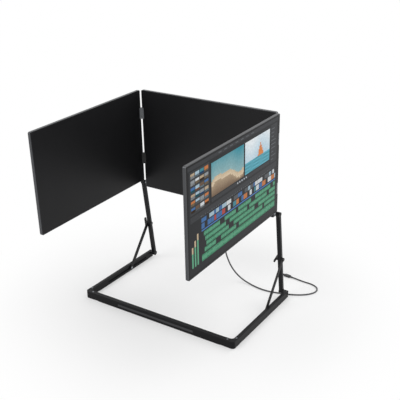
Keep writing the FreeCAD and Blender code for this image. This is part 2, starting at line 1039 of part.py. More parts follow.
def screen_layers(screen):
    """The rear cover, circuit board, display and front glass of a screen."""
    inset = "frame_wall + seat_fit"
    corner_x = "%s + %s" % (screen.start, inset)
    corner_z = "%s + %s" % (screen.low, inset)
    inner_width = "screen_width - 2 * (%s)" % inset
    inner_round = "screen_round - (%s)" % inset
    screen_plate(
        screen,
        "rear_cover",
        corner_x,
        corner_z,
        (inner_width, "%s - 2 * (%s)" % (screen.tall, inset)),
        "cover_thickness",
        "cover_thickness",
        inner_round,
        notch_openings(screen, corner_x, corner_z),
    )
    glass_low = corner_z
    if screen.name == "centre":
        glass_low = "%s + layer_gap" % screen.face
    glass_height = "%s + screen_height - (%s) - (%s)" % (screen.face, inset, glass_low)
    glass_front = "screen_thickness - layer_gap"
    screen_plate(
        screen,
        "front_glass",
        corner_x,
        glass_low,
        (inner_width, glass_height),
        glass_front,
        "glass_thickness",
        inner_round,
        notch_openings(screen, corner_x, glass_low),
    )
    if screen.name == "centre":
        screen_plate(
            screen,
            "chin_cover",
            corner_x,
            corner_z,
            (inner_width, "%s - (%s) - layer_gap" % (screen.face, corner_z)),
            glass_front,
            "glass_thickness",
            inner_round,
            (),
        )
    screen_plate(
        screen,
        "display",
        "%s + display_side" % screen.start,
        "%s + display_bottom" % screen.face,
        (
            "screen_width - 2 * display_side",
            "screen_height - display_bottom - display_top",
        ),
        "flange_front + layer_gap + display_thickness",
        "display_thickness",
        None,
        (),
    )
    screen_plate(
        screen,
        "circuit_board",
        "%s + (screen_width - board_length) / 2" % screen.start,
        "%s + board_rise" % screen.low,
        ("board_length", "board_width"),
        "cover_thickness + board_thickness",
        "board_thickness",
        None,
        (),
    )


BUTTON_BACK = "flange_front + 0.45"


def button_middle(screen):
    """The X of a screen's power button."""
    if screen.name == "centre":
        return "-button_place"
    return screen.inward(screen.ends[0], "button_place", "0")


def button_slot(screen):
    """The slot for the power button in the lower wall of a screen."""
    return block(
        "button_slot_" + screen.name,
        (
            "button_length + 2 * running_fit",
            "button_depth + 2 * running_fit",
            "frame_wall + %s" % (2 * OVER),
        ),
        (
            "%s - button_length / 2 - running_fit" % button_middle(screen),
            layer(BUTTON_BACK + " - running_fit"),
            "%s - %s" % (screen.low, OVER),
        ),
    )


def power_button(screen):
    """The power button: a key through the lower wall, with a lip that keeps it in."""
    middle = button_middle(screen)
    key = block(
        "button_key_" + screen.name,
        ("button_length", "button_depth", "frame_wall + button_proud + 2 * seat_fit / 3"),
        (
            "%s - button_length / 2" % middle,
            layer(BUTTON_BACK),
            "%s - button_proud" % screen.low,
        ),
    )
    lip = block(
        "button_lip_" + screen.name,
        (
            "button_length + 2 * button_lip",
            "button_depth + 0.4",
            "button_flange",
        ),
        (
            "%s - button_length / 2 - button_lip" % middle,
            layer(BUTTON_BACK + " - 0.2"),
            "%s + frame_wall + seat_fit / 3" % screen.low,
        ),
    )
    node = "power_button_" + screen.name
    keep(node, fuse(node, [key, lip]), screen.place)


def socket_middles():
    """The X of each socket in the lower edge of the centre screen."""
    return [("cable", "socket_place"), ("spare", "socket_place - socket_spacing")]


def socket_slots(screen):
    """The slots for the sockets in the lower wall of the centre screen."""
    slots = []
    for name, middle in socket_middles():
        slots.append(
            block(
                "socket_slot_" + name,
                (
                    "socket_length + seat_fit",
                    "socket_depth + seat_fit",
                    "socket_reach + layer_gap + %s" % OVER,
                ),
                (
                    "%s - (socket_length + seat_fit) / 2" % middle,
                    "-(socket_depth + seat_fit) / 2",
                    "%s - %s" % (screen.low, OVER),
                ),
            )
        )
    return slots


def sockets(screen):
    """The metal sockets, each a shell that is open at the bottom."""
    shells = []
    for name, middle in socket_middles():
        outer = block(
            "socket_outer_" + name,
            ("socket_length", "socket_depth", "socket_reach"),
            ("%s - socket_length / 2" % middle, "-socket_depth / 2", screen.low),
        )
        inner = block(
            "socket_inner_" + name,
            (
                "socket_length - 2 * socket_wall",
                "socket_depth - 2 * socket_wall",
                "socket_reach - 2 * socket_wall + %s" % OVER,
            ),
            (
                "%s - socket_length / 2 + socket_wall" % middle,
                "socket_wall - socket_depth / 2",
                "%s - %s" % (screen.low, OVER),
            ),
        )
        shells.append(cut("socket_" + name, outer, [inner]))
    keep("usb_sockets", group("usb_sockets", shells), screen.place)


def connector(node, place):
    """A cable connector along Z: metal shell on top, moulded grip, strain relief below."""
    shell_length = "socket_length - 2 * (socket_wall + seat_fit / 3)"
    shell_depth = "socket_depth - 2 * (socket_wall + seat_fit / 3)"
    shell = block(
        node + "_shell",
        (shell_length, shell_depth, "plug_shell_reach"),
        ("-(%s) / 2" % shell_length, "-(%s) / 2" % shell_depth, "0"),
    )
    shell_round = round_edges(node + "_shell_round", shell, "running_fit * 10", runs_along(Z_AXIS))
    grip = block(
        node + "_grip",
        ("plug_width", "plug_thickness", "plug_length"),
        ("-plug_width / 2", "-plug_thickness / 2", "-plug_length"),
    )
    grip_round = round_edges(node + "_grip_round", grip, "plug_round", runs_along(Z_AXIS))
    relief = doc.addObject("Part::Cone", node + "_relief")
    relief.setExpression("Radius1", formula("cable_diameter / 2 + seat_fit"))
    relief.setExpression("Radius2", formula("relief_radius"))
    relief.setExpression("Height", formula("relief_length"))
    locate(relief, ("0", "0", "-plug_length - relief_length"))
    moulded = fuse(node + "_moulded", [grip_round, relief])
    keep(node, group(node, [shell_round, moulded]), place)


def hinge_link(side, level_name, level):
    """One double-axis link, half way round its fold, with a bore for each pin."""
    name = "hinge_link_%s_%s" % (level_name, side)
    sign = 1 if side == "right" else -1
    web = block(
        name + "_web",
        ("hinge_pitch", "screen_thickness", "hinge_height"),
        (outward(side, "0", "hinge_pitch"), "-" + HALF_THICK, "-hinge_height / 2"),
    )
    solids = [web]
    bores = []
    for tag, across in (("inner", "0"), ("outer", "%d * hinge_pitch" % sign)):
        solids.append(
            rod(
                "%s_barrel_%s" % (name, tag),
                HALF_THICK,
                "hinge_height",
                (across, "0", "-hinge_height / 2"),
            )
        )
        bores.append(
            rod(
                "%s_bore_%s" % (name, tag),
                "hinge_pin_radius + running_fit",
                "hinge_height + %s" % (2 * OVER),
                (across, "0", "-hinge_height / 2 - %s" % OVER),
            )
        )
    blank = fuse(name + "_blank", solids)
    place = centre_place().multiply(
        shift("%d * (screen_width / 2 - hinge_inset)" % sign, "0", level)
    )
    keep(name, cut(name, blank, bores), place.multiply(turn(Z_AXIS, -45 * sign)))


def hinge_pins(screen):
    """The pins in the hinged ends of a screen."""
    length = "%s + 2 * hinge_pin_seat" % NOTCH_HEIGHT
    pins = []
    for end, level_name, level in screen.hinges():
        pins.append(
            rod(
                "hinge_pin_%s_%s_%s" % (screen.name, end, level_name),
                "hinge_pin_radius",
                length,
                (
                    screen.inward(end, "hinge_inset", "0"),
                    "0",
                    "%s - (%s) / 2" % (level, length),
                ),
            )
        )
    node = "hinge_pins_" + screen.name
    keep(node, group(node, pins), screen.place)


def rounded_path(points):
    """Straight runs joined by tangent arcs, with the radius of each arc."""
    corners = [FreeCAD.Vector(*point) for point in points]
    edges = []
    radii = []
    start = corners[0]
    for before, here, after in zip(corners, corners[1:], corners[2:]):
        back = before - here
        ahead = after - here
        share = BEND_SHARE * min(back.Length, ahead.Length)
        half_turn = (math.pi - back.getAngle(ahead)) / 2
        radii.append(share / math.tan(half_turn))
        arc_start = here + back.normalize() * share
        arc_end = here + ahead.normalize() * share
        middle_line = (back + ahead).normalize()
        centre_distance = radii[-1] / math.cos(half_turn)
        arc_middle = here + middle_line * (centre_distance - radii[-1])
        edges.append(Part.LineSegment(start, arc_start).toShape())
        edges.append(Part.Arc(arc_start, arc_middle, arc_end).toShape())
        start = arc_end
    edges.append(Part.LineSegment(start, corners[-1]).toShape())
    return Part.Wire(edges), radii


def cable(upper_end):
    """The lead's tube from the upper plug to the table, with its radii and length printed."""
    points = [tuple(upper_end)] + list(CABLE_ROUTE[1:])
    path, radii = rounded_path(points)
    radius = number("cable_diameter") / 2
    section = Part.Wire([Part.Circle(path.Edges[0].Vertexes[0].Point,
                                     path.Edges[0].tangentAt(path.Edges[0].FirstParameter),
                                     radius).toShape()])
    tube = path.makePipeShell([section], True, False)
    tube_feature = doc.addObject("Part::Feature", "cable")
    tube_feature.Shape = tube
    keep("cable", tube_feature)
    expected = math.pi * radius ** 2 * path.Length
    print("cable length %.1f, tightest arc %.1f" % (path.Length, min(radii)))
    print("cable radii", " ".join("%.0f" % size for size in radii))
    print("cable volume %.1f, section times length %.1f" % (tube.Volume, expected))


def build():
    """Every piece of the extender."""
    stand_bars()
    for side in SIDES:
        corner(side)
    corner_screws()
    rubber_feet()
    for side in SIDES:
        pivot_pin(side)
        post(side)
        brace(side)
        brace_bolt(side)
        wing_nut(side)
        tilt_pin(side)
    centre, left, right = screens()
    for screen in (centre, left, right):
        edge_frame(screen)
        screen_layers(screen)
        power_button(screen)
        hinge_pins(screen)
    for side in SIDES:
        for level_name, level in centre.hinge_levels():
            hinge_link(side, level_name, level)
    sockets(centre)
    plug_place = centre.place.multiply(shift("socket_place", "0", "%s - layer_gap" % centre.low))
    connector("cable_plug_upper", plug_place)
    plug_end = vector("0", "0", "-plug_length - relief_length - seat_fit")
    cable(plug_place.multVec(plug_end))
    lying = FreeCAD.Placement(FreeCAD.Vector(*CABLE_ROUTE[-1]), FreeCAD.Rotation(Z_AXIS, PLUG_HEADING))
    lying = lying.multiply(turn(Y_AXIS, 90)).multiply(turn(Z_AXIS, 90))
    connector("cable_plug_lower", lying.multiply(shift("0", "0", "plug_length + relief_length + seat_fit")))
    doc.recompute()


def write_pieces():
    """Checks every object, then writes one file for each piece."""
    for item in doc.Objects:
        if "Invalid" in item.State or "Error" in item.State:
            raise RuntimeError("%s did not build: %s" % (item.Label, item.State))
    for node, solid in pieces:
        if solid.Shape.isNull() or not solid.Shape.isValid():
            raise RuntimeError("%s has no valid shape" % node)
    os.makedirs("parts", exist_ok=True)
    for node, solid in pieces:
        solid.Shape.exportStep("parts/%s.step" % node)
    print("%d pieces written" % len(pieces))


build()
write_pieces()
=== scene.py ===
"""Dresses the three-screen laptop extender and lights it in a plain studio. Metres, Z up."""

import json
import logging
import math
import random
from dataclasses import dataclass
from enum import Enum
from typing import Callable, Iterable, Sequence

import bmesh
import bpy
from mathutils import Matrix, Vector

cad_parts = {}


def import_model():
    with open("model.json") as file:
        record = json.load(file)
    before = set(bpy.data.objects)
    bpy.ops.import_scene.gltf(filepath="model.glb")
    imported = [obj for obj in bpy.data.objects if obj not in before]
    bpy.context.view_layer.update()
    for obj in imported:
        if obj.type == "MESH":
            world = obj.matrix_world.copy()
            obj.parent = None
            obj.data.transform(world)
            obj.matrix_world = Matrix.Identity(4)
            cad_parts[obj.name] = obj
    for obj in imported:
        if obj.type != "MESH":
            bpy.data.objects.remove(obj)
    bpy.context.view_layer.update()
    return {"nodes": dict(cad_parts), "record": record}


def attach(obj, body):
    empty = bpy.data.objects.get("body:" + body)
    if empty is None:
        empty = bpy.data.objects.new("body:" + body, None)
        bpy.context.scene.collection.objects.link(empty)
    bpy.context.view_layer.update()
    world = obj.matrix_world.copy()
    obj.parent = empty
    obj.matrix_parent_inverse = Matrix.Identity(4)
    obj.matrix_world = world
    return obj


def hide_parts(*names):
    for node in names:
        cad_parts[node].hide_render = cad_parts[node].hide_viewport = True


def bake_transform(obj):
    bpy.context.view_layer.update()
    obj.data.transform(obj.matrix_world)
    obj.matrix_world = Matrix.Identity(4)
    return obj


log = logging.getLogger("screen_extender")

MM = 0.001
WHITE = (1.0, 1.0, 1.0, 1.0)
Colour = tuple[float, float, float]


class Texture(Enum):
    """The kinds of fine surface that the pieces have."""

    POWDER = "powder"
    BRUSHED = "brushed"
    MOULDED = "moulded"
    SMOOTH = "smooth"


@dataclass(frozen=True)
class Finish:
    """One surface finish: its colour, its gloss and its fine texture."""

    name: str
    colour: Colour
    roughness: float
    metallic: float = 0.0
    texture: Texture = Texture.MOULDED
    grain: float = 1400.0
    relief: float = 0.08
    mottle: float = 0.12
    spread: float = 0.08
    specular: float = 0.5
    bump_depth: float = 0.0002

    def stretch(self) -> Colour:
        """The scale of the grain along each axis: brushing runs long along X."""
        if self.texture is Texture.BRUSHED:
            return (0.02, 1.0, 1.0)
        return (1.0, 1.0, 1.0)

    def material(self) -> bpy.types.Material:
        """Builds the material.

        Returns:
            A node material that reads Object coordinates.
        """
        made = bpy.data.materials.get(self.name)
        if made:
            return made
        made = bpy.data.materials.new(self.name)
        made.use_nodes = True
        nodes = made.node_tree.nodes
        links = made.node_tree.links
        shader = nodes["Principled BSDF"]
        shader.inputs["Metallic"].default_value = self.metallic
        shader.inputs["Specular IOR Level"].default_value = self.specular
        place = nodes.new("ShaderNodeTexCoord")
        mapping = nodes.new("ShaderNodeMapping")
        mapping.inputs["Scale"].default_value = self.stretch()
        surface = nodes.new("ShaderNodeGroup")
        surface.node_tree = fine_surface_group()
        surface.inputs["Colour"].default_value = (*self.colour, 1.0)
        surface.inputs["Roughness"].default_value = self.roughness
        surface.inputs["Mottle"].default_value = self.mottle
        surface.inputs["Spread"].default_value = self.spread
        surface.inputs["Grain"].default_value = self.grain
        bump = nodes.new("ShaderNodeBump")
        bump.inputs["Strength"].default_value = self.relief
        bump.inputs["Distance"].default_value = self.bump_depth
        links.new(place.outputs["Object"], mapping.inputs["Vector"])
        links.new(mapping.outputs["Vector"], surface.inputs["Place"])
        links.new(surface.outputs["Colour"], shader.inputs["Base Color"])
        links.new(surface.outputs["Roughness"], shader.inputs["Roughness"])
        links.new(surface.outputs["Height"], bump.inputs["Height"])
        links.new(bump.outputs["Normal"], shader.inputs["Normal"])
        return made


MARKS_SCALE = 14.0
MARKS_DETAIL = 4.0
GRAIN_DETAIL = 2.0
NOISE_MIDDLE = 0.5


def fine_surface_group() -> bpy.types.NodeTree:
    """The shared fine surface: handling marks in the colour and gloss, and a small grain.

    Returns:
        The node group, built once.
    """
    made = bpy.data.node_groups.get("fine_surface")
    if made:
        return made
    made = bpy.data.node_groups.new("fine_surface", "ShaderNodeTree")
    for name, kind in (
        ("Place", "NodeSocketVector"),
        ("Colour", "NodeSocketColor"),
        ("Roughness", "NodeSocketFloat"),
        ("Mottle", "NodeSocketFloat"),
        ("Spread", "NodeSocketFloat"),
        ("Grain", "NodeSocketFloat"),
    ):
        made.interface.new_socket(name=name, in_out="INPUT", socket_type=kind)
    for name, kind in (
        ("Colour", "NodeSocketColor"),
        ("Roughness", "NodeSocketFloat"),
        ("Height", "NodeSocketFloat"),
    ):
        made.interface.new_socket(name=name, in_out="OUTPUT", socket_type=kind)
    nodes = made.nodes
    links = made.links
    source = nodes.new("NodeGroupInput")
    result = nodes.new("NodeGroupOutput")
    marks = nodes.new("ShaderNodeTexNoise")
    marks.inputs["Scale"].default_value = MARKS_SCALE
    marks.inputs["Detail"].default_value = MARKS_DETAIL
    fine = nodes.new("ShaderNodeTexNoise")
    fine.inputs["Detail"].default_value = GRAIN_DETAIL
    centred = nodes.new("ShaderNodeMath")
    centred.operation = "SUBTRACT"
    centred.inputs[1].default_value = NOISE_MIDDLE
    tone = nodes.new("ShaderNodeMath")
    tone.operation = "MULTIPLY_ADD"
    tone.inputs[2].default_value = 1.0
    tinted = nodes.new("ShaderNodeVectorMath")
    tinted.operation = "SCALE"
    gloss = nodes.new("ShaderNodeMath")
    gloss.operation = "MULTIPLY_ADD"
    links.new(source.outputs["Place"], marks.inputs["Vector"])
    links.new(source.outputs["Place"], fine.inputs["Vector"])
    links.new(source.outputs["Grain"], fine.inputs["Scale"])
    links.new(marks.outputs["Fac"], centred.inputs[0])
    links.new(centred.outputs[0], tone.inputs[0])
    links.new(source.outputs["Mottle"], tone.inputs[1])
    links.new(source.outputs["Colour"], tinted.inputs[0])
    links.new(tone.outputs[0], tinted.inputs["Scale"])
    links.new(centred.outputs[0], gloss.inputs[0])
    links.new(source.outputs["Spread"], gloss.inputs[1])
    links.new(source.outputs["Roughness"], gloss.inputs[2])
    links.new(tinted.outputs[0], result.inputs["Colour"])
    links.new(gloss.outputs[0], result.inputs["Roughness"])
    links.new(fine.outputs["Fac"], result.inputs["Height"])
    return made


BAR_PAINT = Finish(
    "bar_paint", (0.006, 0.006, 0.007), 0.42, texture=Texture.POWDER, relief=0.25, specular=0.14
)
POST_PAINT = Finish(
    "post_paint", (0.007, 0.007, 0.008), 0.40, texture=Texture.POWDER, relief=0.2, specular=0.16
)
INLAY = Finish("bar_inlay", (0.030, 0.030, 0.033), 0.55)
RUBBER = Finish("foot_rubber", (0.016, 0.016, 0.016), 0.85, relief=0.3)
PIN_STEEL = Finish("pin_steel", (0.42, 0.43, 0.45), 0.30, 1.0, Texture.BRUSHED, 2600.0, 0.15)
BOLT_BLACK = Finish("bolt_black", (0.020, 0.020, 0.022), 0.38, 0.6, Texture.SMOOTH)
REAR_COVER = Finish(
    "rear_cover", (0.010, 0.010, 0.011), 0.42, 0.0, Texture.POWDER, 1800.0, 0.12, specular=0.2
)
FRAME_METAL = Finish("frame_metal", (0.075, 0.077, 0.082), 0.36, 0.7, Texture.BRUSHED, 2200.0, 0.1)
CHIN = Finish("chin_cover", (0.012, 0.012, 0.013), 0.5)
GLASS_BORDER = Finish(
    "glass_border", (0.006, 0.006, 0.007), 0.2, texture=Texture.SMOOTH, relief=0.0, specular=0.1
)
DISPLAY_CELL = Finish("display_cell", (0.02, 0.021, 0.024), 0.3, texture=Texture.SMOOTH)
BOARD = Finish("board_green", (0.02, 0.11, 0.05), 0.45, grain=700.0)
BUTTON = Finish("button_plastic", (0.03, 0.03, 0.033), 0.5)
HINGE_GREY = Finish("hinge_grey", (0.17, 0.175, 0.18), 0.40, 0.5, Texture.POWDER)
# Painted shade: a darker copy of the hinge grey for the lower left hinge link, standing in for the
# shade at the foot of the gap between the panels.
HINGE_PAINTED_SHADE = Finish("hinge_black", (0.014, 0.014, 0.015), 0.42, 0.3, Texture.POWDER)
# Painted light: a paler copy of the hinge grey for the lower right hinge link, standing in for the
# light on the lit edge in the gap.
HINGE_PAINTED_LIGHT = Finish("hinge_painted_light", (0.34, 0.35, 0.36), 0.38, 0.5, Texture.POWDER)
LEAD = Finish("lead_jacket", (0.045, 0.045, 0.048), 0.55, grain=1800.0, relief=0.15)
PLUG = Finish("plug_plastic", (0.022, 0.022, 0.024), 0.5)

# The finish of each carried-over node, by the start of its name. The first that fits holds.
NODE_FINISHES: tuple[tuple[str, Finish], ...] = (
    ("cross_bar_inlay", INLAY),
    ("cross_bar", BAR_PAINT),
    ("corner_screws", PIN_STEEL),
    ("corner_", BAR_PAINT),
    ("side_bar_", BAR_PAINT),
    ("bar_end_", BAR_PAINT),
    ("foot_", RUBBER),
    ("post_pin_", BOLT_BLACK),
    ("post_", POST_PAINT),
    ("brace_bolt_", BOLT_BLACK),
    ("brace_rivet_", PIN_STEEL),
    ("brace_", POST_PAINT),
    ("wing_nut_", BOLT_BLACK),
    ("tilt_pin_", PIN_STEEL),
    ("usb_sockets", PIN_STEEL),
    ("hinge_pins_", PIN_STEEL),
    # The lower left link takes the painted shade copy of the hinge grey.
    ("hinge_link_low_left", HINGE_PAINTED_SHADE),
    # The lower right link takes the painted light copy of the hinge grey.
    ("hinge_link_low_right", HINGE_PAINTED_LIGHT),
    ("hinge_link_", HINGE_GREY),
    ("rear_cover_", REAR_COVER),
    ("edge_frame_", FRAME_METAL),
    ("front_glass_", GLASS_BORDER),
    ("chin_cover_", CHIN),
    ("display_", DISPLAY_CELL),
    ("circuit_board_", BOARD),
    ("power_button_", BUTTON),
    ("cable_plug_", PLUG),
)


def dress_nodes(nodes: dict[str, bpy.types.Object]) -> None:
    """Gives every carried-over node its finish.

    Args:
        nodes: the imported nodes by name.
    """
    for name, node in nodes.items():
        for start, finish in NODE_FINISHES:
            if name.startswith(start):
                node.data.materials.clear()
                node.data.materials.append(finish.material())
                log.info("dressed %s with %s", name, finish.name)
                break


@dataclass
class Viewpoint:
    """The camera at the photograph's place and angle."""

    place: Vector
    heading: Vector
    lens: float = 64.6
    sensor: float = 36.0
    shift_x: float = -0.0165
    shift_y: float = 0.0134
    farthest: float = 50.0

    def build(self) -> None:
        """Makes the camera and sets it as the scene's own."""
        data = bpy.data.cameras.new("viewpoint")
        data.lens = self.lens
        data.sensor_width = self.sensor
        data.shift_x = self.shift_x
        data.shift_y = self.shift_y
        data.clip_end = self.farthest
        camera = bpy.data.objects.new("viewpoint", data)
        camera.location = self.place
        camera.rotation_euler = self.heading.to_track_quat("-Z", "Y").to_euler()
        bpy.context.scene.collection.objects.link(camera)
        bpy.context.scene.camera = camera


@dataclass
class Lead:
    """The lead from the centre screen to its plug on the table."""

    route: Sequence[tuple[float, float, float]]
    diameter: float
    sides: int = 4
    steps: int = 10
    order: int = 3
    still_end: tuple[float, float, float] = (0.05, 0.29, 0.03)
    moving_end: tuple[float, float, float] = (0.045, 0.243, 0.2)

    def spline(self, name: str, bevel: float) -> bpy.types.Object:
        """One smooth curve through the route's control points.

        Args:
            name: the curve's name.
            bevel: its radius, or 0 for the bare line.

        Returns:
            The curve object.
        """
        data = bpy.data.curves.new(name, "CURVE")
        data.dimensions = "3D"
        data.resolution_u = self.steps
        data.bevel_depth = bevel
        data.bevel_resolution = self.sides
        data.use_fill_caps = bevel > 0
        line = data.splines.new("NURBS")
        line.points.add(len(self.route) - 1)
        for point, place in zip(line.points, self.route):
            point.co = (*(value * MM for value in place), 1.0)
        line.order_u = self.order
        line.use_endpoint_u = True
        curve = bpy.data.objects.new(name, data)
        bpy.context.scene.collection.objects.link(curve)
        return curve

    def build(self) -> bpy.types.Object:
        """Returns:
            The tube.
        """
        bare = self.spline("lead_line", 0.0)
        full = self.spline("lead_tube", self.diameter * MM / 2)
        bpy.context.view_layer.update()
        line = bpy.data.meshes.new_from_object(bare)
        tube = bpy.data.objects.new("lead", bpy.data.meshes.new_from_object(full))
        bpy.context.scene.collection.objects.link(tube)
        for curve in (bare, full):
            bpy.data.objects.remove(curve)
        tidy_mesh(tube.data)
        tube.data.materials.clear()
        tube.data.materials.append(LEAD.material())
        for polygon in tube.data.polygons:
            polygon.use_smooth = True
        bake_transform(tube)
        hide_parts("cable")
        return tube


MERGE_DISTANCE = 1e-6


def tidy_mesh(mesh: bpy.types.Mesh) -> None:
    """Merges a mesh's doubles and points its faces outward."""
    work = bmesh.new()
    work.from_mesh(mesh)
    bmesh.ops.remove_doubles(work, verts=work.verts, dist=MERGE_DISTANCE)
    bmesh.ops.recalc_face_normals(work, faces=work.faces)
    work.to_mesh(mesh)
    work.free()


PICTURE_GLOW = 0.62
PICTURE_BODY = 0.4
PICTURE_ROUGHNESS = 0.22
PICTURE_SPECULAR = 0.1
UNEVEN_SCALE = 260.0
UNEVEN_DETAIL = 3.0
UNEVEN_RANGE = (0.72, 1.25)


def lit_picture() -> bpy.types.Material:
    """The lit display: each tile shines in its own tint, with a soft unevenness.

    Returns:
        The material, which reads the piece's own tint attribute.
    """
    made = bpy.data.materials.get("lit_picture")
    if made:
        return made
    made = bpy.data.materials.new("lit_picture")
    made.use_nodes = True
    nodes = made.node_tree.nodes
    links = made.node_tree.links
    shader = nodes["Principled BSDF"]
    shader.inputs["Roughness"].default_value = PICTURE_ROUGHNESS
    shader.inputs["Specular IOR Level"].default_value = PICTURE_SPECULAR
    shader.inputs["Emission Strength"].default_value = PICTURE_GLOW
    tint = nodes.new("ShaderNodeAttribute")
    tint.attribute_name = "tint"
    place = nodes.new("ShaderNodeTexCoord")
    uneven = nodes.new("ShaderNodeTexNoise")
    uneven.inputs["Scale"].default_value = UNEVEN_SCALE
    uneven.inputs["Detail"].default_value = UNEVEN_DETAIL
    level = nodes.new("ShaderNodeMapRange")
    level.inputs["To Min"].default_value, level.inputs["To Max"].default_value = UNEVEN_RANGE
    shaded = nodes.new("ShaderNodeVectorMath")
    shaded.operation = "SCALE"
    dimmed = nodes.new("ShaderNodeVectorMath")
    dimmed.operation = "SCALE"
    dimmed.inputs["Scale"].default_value = PICTURE_BODY
    links.new(place.outputs["Object"], uneven.inputs["Vector"])
    links.new(uneven.outputs["Fac"], level.inputs["Value"])
    links.new(tint.outputs["Color"], shaded.inputs[0])
    links.new(level.outputs["Result"], shaded.inputs["Scale"])
    links.new(shaded.outputs[0], shader.inputs["Emission Color"])
    links.new(shaded.outputs[0], dimmed.inputs[0])
    links.new(dimmed.outputs[0], shader.inputs["Base Color"])
    return made


def blend_tints(low: Colour, high: Colour, share: float) -> Colour:
    """A tint between two others."""
    return tuple(a + (b - a) * share for a, b in zip(low, high))


@dataclass
class Canvas:
    """Tiles on one display, placed by shares of the lit area: across to the right, and up.

    Attributes:
        lift: height of the first layer above the glass.
        layer: thickness of each layer of tiles.
    """

    corner: Vector
    across: Vector
    up: Vector
    out: Vector
    width: float
    height: float
    lift: float = 0.01 * MM
    layer: float = 0.012 * MM

    def __post_init__(self) -> None:
        """Starts an empty mesh with a tint on each face."""
        self.work = bmesh.new()
        self.tint = self.work.faces.layers.float_color.new("tint")

    def tile(
        self, left: float, low: float, right: float, high: float, tint: Colour, level: int = 1
    ) -> None:
        """Adds one flat tile.

        Args:
            left: share across at the tile's left edge.
            low: share up at its lower edge.
            right: share across at its right edge.
            high: share up at its upper edge.
            tint: its colour.
            level: the layer that it lies on.
        """
        size = Vector(((right - left) * self.width, (high - low) * self.height, self.layer))
        middle = (
            self.corner
            + self.across * ((left + right) / 2 * self.width)
            + self.up * ((low + high) / 2 * self.height)
            + self.out * (self.lift + self.layer * (level + 0.5))
        )
        turn = Matrix((self.across, self.up, self.out)).transposed().to_4x4()
        place = Matrix.Translation(middle) @ turn @ Matrix.Diagonal((*size, 1.0))
        corners = bmesh.ops.create_cube(self.work, size=1.0, matrix=place)["verts"]
        for face in {face for vertex in corners for face in vertex.link_faces}:
            face[self.tint] = (*tint, 1.0)

    def scene(
        self,
        left: float,
        low: float,
        right: float,
        high: float,
        shade: Callable[[float, float], Colour],
        columns: int = 26,
        rows: int = 18,
    ) -> None:
        """Adds a small picture made of cells.

        Args:
            left: share across at the picture's left edge.
            low: share up at its lower edge.
            right: share across at its right edge.
            high: share up at its upper edge.
            shade: the tint at a share across and up of the picture.
            columns: cells across.
            rows: cells up.
        """
        step_across = (right - left) / columns
        step_up = (high - low) / rows
        for column in range(columns):
            for row in range(rows):
                self.tile(
                    left + column * step_across,
                    low + row * step_up,
                    left + (column + 1) * step_across,
                    low + (row + 1) * step_up,
                    shade((column + 0.5) / columns, (row + 0.5) / rows),
                    2,
                )

    def finish(self, name: str, body: str, slot: str) -> bpy.types.Object:
        """Makes the piece and hangs it on its body.

        Args:
            name: the piece's name.
            body: the body that it rides on.
            slot: not used.

        Returns:
            The piece.
        """
        mesh = bpy.data.meshes.new(name)
        bmesh.ops.recalc_face_normals(self.work, faces=self.work.faces)
        self.work.to_mesh(mesh)
        self.work.free()
        mesh.materials.append(lit_picture())
        piece = bpy.data.objects.new(name, mesh)
        bpy.context.scene.collection.objects.link(piece)
        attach(piece, body)
        log.info("picture %s", name)
        return piece


INK = (0.012, 0.013, 0.015)
PANEL = (0.030, 0.032, 0.036)
LINE = (0.10, 0.11, 0.12)
LIGHT = (0.50, 0.54, 0.58)
GREEN = (0.030, 0.185, 0.095)
PALE_GREEN = (0.10, 0.34, 0.20)
BLUE = (0.05, 0.17, 0.42)
TEAL = (0.05, 0.26, 0.32)
SAND = (0.52, 0.40, 0.26)
BROWN = (0.14, 0.085, 0.05)
ORANGE = (0.62, 0.20, 0.05)
RED = (0.50, 0.06, 0.05)
SKY = (0.42, 0.58, 0.68)
CLOUD = (0.74, 0.78, 0.80)


def dunes(across: float, up: float) -> Colour:
    """Sand hills below a teal sky."""
    ridge = 0.42 + 0.14 * math.sin(across * 5.2) + 0.05 * math.sin(across * 13.0)
    if up < ridge - 0.16:
        return blend_tints(BROWN, SAND, up / (ridge - 0.16) * 0.6)
    if up < ridge:
        return blend_tints(SAND, (0.70, 0.58, 0.42), (ridge - up) * 4)
    return blend_tints((0.24, 0.40, 0.42), TEAL, (up - ridge) * 1.6)


def harbour(across: float, up: float) -> Colour:
    """A pale sky over blue water, with an orange sail."""
    if abs(across - 0.62) < (0.78 - up) * 0.28 and 0.34 < up < 0.78:
        return ORANGE
    if up < 0.34:
        return blend_tints(TEAL, (0.10, 0.38, 0.48), 0.5 + 0.5 * math.sin(up * 60 + across * 8))
    return blend_tints(SKY, CLOUD, min(1.0, (up - 0.34) * 1.3 + 0.2 * math.sin(across * 7)))


def meadow(across: float, up: float) -> Colour:
    """Green hills with a pale sky."""
    ridge = 0.5 + 0.12 * math.sin(across * 4.0 + 1.0)
    if up < ridge:
        return blend_tints((0.03, 0.10, 0.05), (0.10, 0.30, 0.12), up / ridge)
    return blend_tints((0.60, 0.66, 0.66), (0.22, 0.38, 0.52), (up - ridge) * 2)


class Layout(Enum):
    """What a display shows."""

    EDITING = "editing"
    CHARTS = "charts"
    GALLERY = "gallery"


